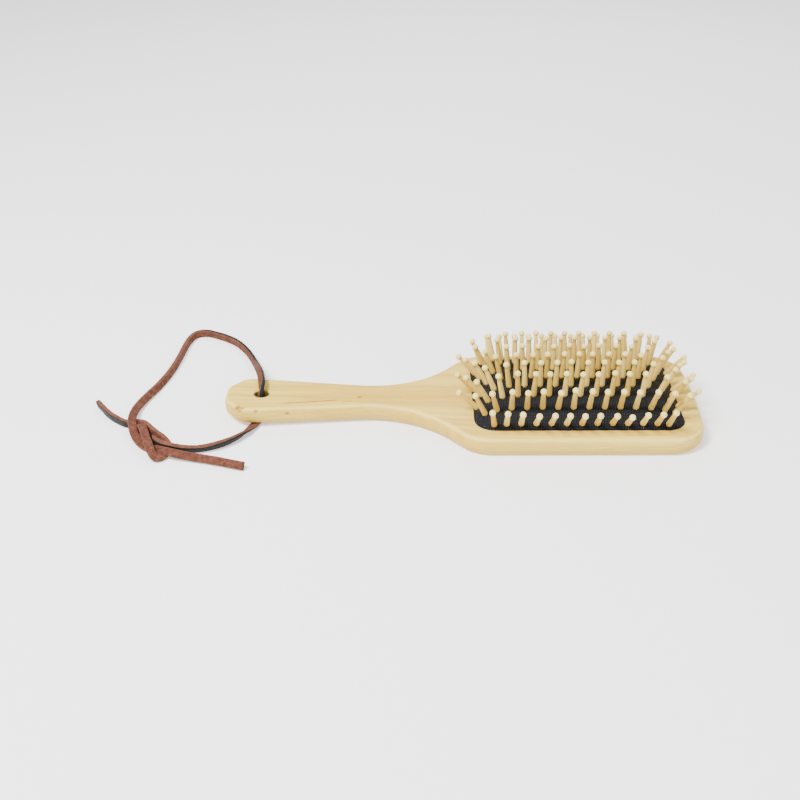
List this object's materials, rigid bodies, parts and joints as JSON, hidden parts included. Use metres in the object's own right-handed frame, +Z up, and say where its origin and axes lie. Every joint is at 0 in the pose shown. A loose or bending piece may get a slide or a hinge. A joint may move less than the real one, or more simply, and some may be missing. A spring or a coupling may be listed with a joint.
{
  "type": "paddle brush",
  "caption": "Flat wooden paddle hairbrush: a domed rubber cushion with a woven face carries rows of turned wooden pins; a leather lace is knotted through the handle's hanging hole.",
  "frame": {"origin": "centre of the brush's bounding box in plan, on the surface its flat back rests on (the free lace isn't counted)", "axes": "+X along the handle from its hanging hole towards the head, +Z up from the back through the pins, +Y across the head"},
  "size_m": [0.3116, 0.141, 0.0353],
  "materials": {
    "body_wood": "satin",
    "pin_wood": "satin",
    "rubber": "matte",
    "facing": "woven",
    "glue": "gloss",
    "leather": "suede"
  },
  "bodies": {
    "root": {"wooden_body": "body_wood", "glue_line": "glue", "lace_upper_strand": "leather", "lace_lower_strand": "leather", "lace_knot": "leather", "lace_long_tail": "leather", "lace_short_tail": "leather"},
    "cushion": {"rubber_membrane": "rubber", "fabric_facing": "facing"},
    "row_1": {"pins_row_1": "pin_wood"},
    "row_2": {"pins_row_2": "pin_wood"},
    "row_3": {"pins_row_3": "pin_wood"},
    "row_4": {"pins_row_4": "pin_wood"},
    "row_5": {"pins_row_5": "pin_wood"},
    "row_6": {"pins_row_6": "pin_wood"},
    "row_7": {"pins_row_7": "pin_wood"},
    "row_8": {"pins_row_8": "pin_wood"},
    "row_9": {"pins_row_9": "pin_wood"},
    "left_end": {"pins_left_end": "pin_wood"},
    "right_end": {"pins_right_end": "pin_wood"}
  },
  "joints": [
    {"name": "cushion_press", "type": "slide", "parent": "root", "child": "cushion", "axis": [0, 0, 1], "range_m": [-0.003, 0], "stiffness_N_per_m": 2500, "deforming": ["rubber_membrane", "fabric_facing"]},
    {"name": "row_1_rock", "type": "hinge", "parent": "root", "child": "row_1", "pos_m": [0.0584, -0.03253, 0.01145], "axis": [1, 0, 0], "range_deg": [-10, 10], "stiffness_Nm_per_rad": 0.02},
    {"name": "row_2_rock", "type": "hinge", "parent": "cushion", "child": "row_2", "pos_m": [0.0584, -0.02544, 0.01605], "axis": [1, 0, 0], "range_deg": [-10, 10], "stiffness_Nm_per_rad": 0.02},
    {"name": "row_3_rock", "type": "hinge", "parent": "cushion", "child": "row_3", "pos_m": [0.0584, -0.01718, 0.01786], "axis": [1, 0, 0], "range_deg": [-10, 10], "stiffness_Nm_per_rad": 0.02},
    {"name": "row_4_rock", "type": "hinge", "parent": "cushion", "child": "row_4", "pos_m": [0.0584, -0.0086, 0.01868], "axis": [1, 0, 0], "range_deg": [-10, 10], "stiffness_Nm_per_rad": 0.02},
    {"name": "row_5_rock", "type": "hinge", "parent": "cushion", "child": "row_5", "pos_m": [0.0584, 0, 0.01838], "axis": [1, 0, 0], "range_deg": [-10, 10], "stiffness_Nm_per_rad": 0.02},
    {"name": "row_6_rock", "type": "hinge", "parent": "cushion", "child": "row_6", "pos_m": [0.0584, 0.0086, 0.01868], "axis": [1, 0, 0], "range_deg": [-10, 10], "stiffness_Nm_per_rad": 0.02},
    {"name": "row_7_rock", "type": "hinge", "parent": "cushion", "child": "row_7", "pos_m": [0.0584, 0.01718, 0.01785], "axis": [1, 0, 0], "range_deg": [-10, 10], "stiffness_Nm_per_rad": 0.02},
    {"name": "row_8_rock", "type": "hinge", "parent": "cushion", "child": "row_8", "pos_m": [0.0584, 0.02544, 0.01604], "axis": [1, 0, 0], "range_deg": [-10, 10], "stiffness_Nm_per_rad": 0.02},
    {"name": "row_9_rock", "type": "hinge", "parent": "root", "child": "row_9", "pos_m": [0.0584, 0.03253, 0.01145], "axis": [1, 0, 0], "range_deg": [-10, 10], "stiffness_Nm_per_rad": 0.02},
    {"name": "left_end_rock", "type": "hinge", "parent": "root", "child": "left_end", "pos_m": [0.01004, 0, 0.0125], "axis": [0, 1, 0], "range_deg": [-10, 10], "stiffness_Nm_per_rad": 0.01},
    {"name": "right_end_rock", "type": "hinge", "parent": "root", "child": "right_end", "pos_m": [0.10722, 0, 0.01218], "axis": [0, 1, 0], "range_deg": [-10, 10], "stiffness_Nm_per_rad": 0.01}
  ]
}
